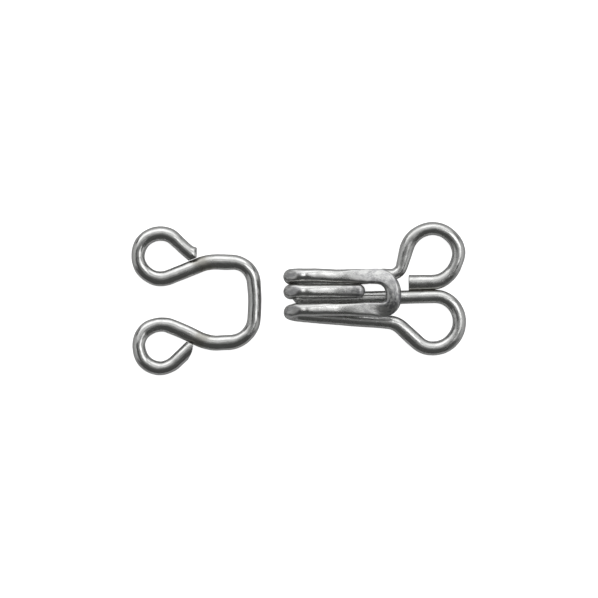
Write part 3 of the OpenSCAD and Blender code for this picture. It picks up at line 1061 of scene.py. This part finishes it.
def wire_finish(name, dullness, scratched, tarnish_and_shade_share, drawn):
    material = bpy.data.materials.new(name)
    material.use_nodes = True
    tree = material.node_tree
    tree.nodes.clear()
    crevice, cut = note_of(tree, "crevice"), note_of(tree, "cut")
    worked_and_shaded = maths(tree, "MAXIMUM", note_of(tree, "pressed"), note_of(tree, "struck"))
    lines = effect(tree, draw_lines, Strength=drawn)
    clouds = effect(tree, cloudy_plating, Pits=pit_depth)
    hairs = effect(tree, scratches, Amount=scratched)
    tool_wear_and_shade = effect(tree, tool_marks_and_shade, Amount=worked_and_shaded, Dents=dent_depth)

    colour = mixed(tree, maths(tree, "MULTIPLY", clouds["Mask"], cloud_share), BRIGHT, DULL)
    colour = mixed(tree, maths(tree, "MULTIPLY", lines["Mask"], line_share), colour, DULL)
    # Worn grey where tools have been, and painted shade on spots of the U and on the end of the prong.
    colour = mixed(tree, tool_wear_and_shade["Mask"], colour, WORN_AND_SHADED)
    # Browner and darker near other strands: partly tarnish, and partly painted shade between the strands.
    tarnish_and_shade = maths(tree, "MULTIPLY", maths(tree, "POWER", crevice, crevice_power), tarnish_and_shade_share)
    colour = mixed(tree, tarnish_and_shade, colour, TARNISHED_AND_SHADED)
    colour = mixed(tree, hairs["Mask"], colour, SCRATCHED)
    colour = mixed(tree, cut, colour, BARE_STEEL)

    rough = ranged(tree, clouds["Mask"], 0, 1, dullness - clear_smoother, dullness + cloud_rougher)
    for note, more in ((cut, rough_cut), (worked_and_shaded, rough_worked), (crevice, rough_crevice)):
        rough = maths(tree, "ADD", rough, maths(tree, "MULTIPLY", note, more))

    height = maths(tree, "ADD", lines["Height"], clouds["Height"], tool_wear_and_shade["Height"])
    relief = {"Height": height, "Strength": bump_strength, "Distance": bump_height}
    bump = node(tree, "ShaderNodeBump", relief).outputs[0]
    metal = {"Base Color": colour, "Roughness": rough, "Metallic": 1.0, "Normal": bump}
    shader = node(tree, "ShaderNodeBsdfPrincipled", metal)
    node(tree, "ShaderNodeOutputMaterial", {"Surface": shader.outputs[0]})
    return material


eye_values = dict(dullness=0.20, scratched=0.35, tarnish_and_shade_share=0.5, drawn=0.6)
hook_values = dict(dullness=0.24, scratched=0.35, tarnish_and_shade_share=0.8, drawn=0.35)
eye_wire.data.materials.append(wire_finish("bright plated wire, eye", **eye_values))
hook_wire.data.materials.append(wire_finish("bright plated wire, hook", **hook_values))
print("materials:", [m.name for m in bpy.data.materials])

# %% [markdown]
# ## The floor
# The clasp lies on a plain white sheet. It is lit until it is white, and it shows darker in the metal
# than to the eye, as paper does that is partly shaded by whoever looks at it. A light path node tells the
# two apart.

# %% Lay the white sheet
sheet_size, sheet_glow, paper_rough, paper_shine = 2.4, 0.88, 0.9, 0.1
PAPER_SEEN, PAPER_IN_METAL = (0.93, 0.93, 0.93, 1), (0.55, 0.55, 0.55, 1)
bpy.ops.mesh.primitive_plane_add(size=sheet_size, location=(0, 0, 0))
sheet = bpy.context.object
sheet.name = "white_sheet"
paper = bpy.data.materials.new("white paper")
paper.use_nodes = True
tree = paper.node_tree
shader = tree.nodes["Principled BSDF"]
shader.inputs["Roughness"].default_value = paper_rough
shader.inputs["Specular IOR Level"].default_value = paper_shine
rays = node(tree, "ShaderNodeLightPath").outputs
tone = mixed(tree, rays["Is Glossy Ray"], PAPER_SEEN, PAPER_IN_METAL)
tree.links.new(tone, shader.inputs["Base Color"])
shader.inputs["Emission Color"].default_value = (1, 1, 1, 1)
glow = maths(tree, "MULTIPLY", rays["Is Camera Ray"], sheet_glow)
tree.links.new(glow, shader.inputs["Emission Strength"])
sheet.data.materials.append(paper)
print("sheet:", [round(v, 2) for v in sheet.dimensions], "m")

# %% [markdown]
# ## The light
# Polished wire is drawn by what it mirrors. One wide soft panel stands beyond the top of the picture and
# gives the long highlight, and a pale wall behind it lights the slopes that face up the picture. A small
# bright panel to the right lights the slopes of the bill. Weak panels low on both sides keep the flanks
# grey, and a faint one overhead keeps the tops of the wires from going dark. Nothing shines from below
# the picture, so the wire's lower flanks stay dark.

# %% Hang the soft panels
# Columns: name, place in m, width and height in m, brightness. Each panel faces the clasp, and its power
# grows with its area, so the brightness is that of what the metal mirrors.
PANELS = (
    ("top_panel", (-0.06, 0.325, 0.245), (0.66, 0.26), 0.70),
    ("top_wall", (0.0, 0.62, 0.50), (1.7, 1.4), 0.48),
    ("right_panel", (0.23, 0.06, 0.39), (0.28, 0.26), 1.08),
    ("left_panel", (-0.40, 0.0, 0.18), (0.40, 0.36), 0.34),
    ("low_right_panel", (0.40, 0.0, 0.14), (0.44, 0.30), 0.38),
    ("over_panel", (0.0, 0.05, 0.75), (0.42, 0.42), 0.14),
)
watts_for_area = 4

for name, at, size, brightness in PANELS:
    light = bpy.data.lights.new(name, "AREA")
    light.shape = "RECTANGLE"
    light.size, light.size_y = size
    light.energy = brightness * size[0] * size[1] * watts_for_area
    panel = bpy.data.objects.new(name, light)
    panel.location = at
    panel.rotation_euler = (-Vector(at)).to_track_quat("-Z", "Y").to_euler()
    panel.visible_camera = False
    bpy.context.scene.collection.objects.link(panel)

# %% [markdown]
# ## The room
# What no panel covers is a dim grey room. In the metal it is darker still, for the dark bands that the
# real wire shows. The plain view transform keeps the greys as they are lit.

# %% Dim the room
ROOM, ROOM_IN_METAL = (0.15, 0.15, 0.15, 1), (0.075, 0.076, 0.074, 1)
world = bpy.data.worlds.new("soft room")
bpy.context.scene.world = world
world.use_nodes = True
tree = world.node_tree
rays = node(tree, "ShaderNodeLightPath").outputs
tone = mixed(tree, rays["Is Glossy Ray"], ROOM, ROOM_IN_METAL)
tree.links.new(tone, tree.nodes["Background"].inputs["Color"])
bpy.context.scene.view_settings.view_transform = "Standard"
print("room:", world.name)
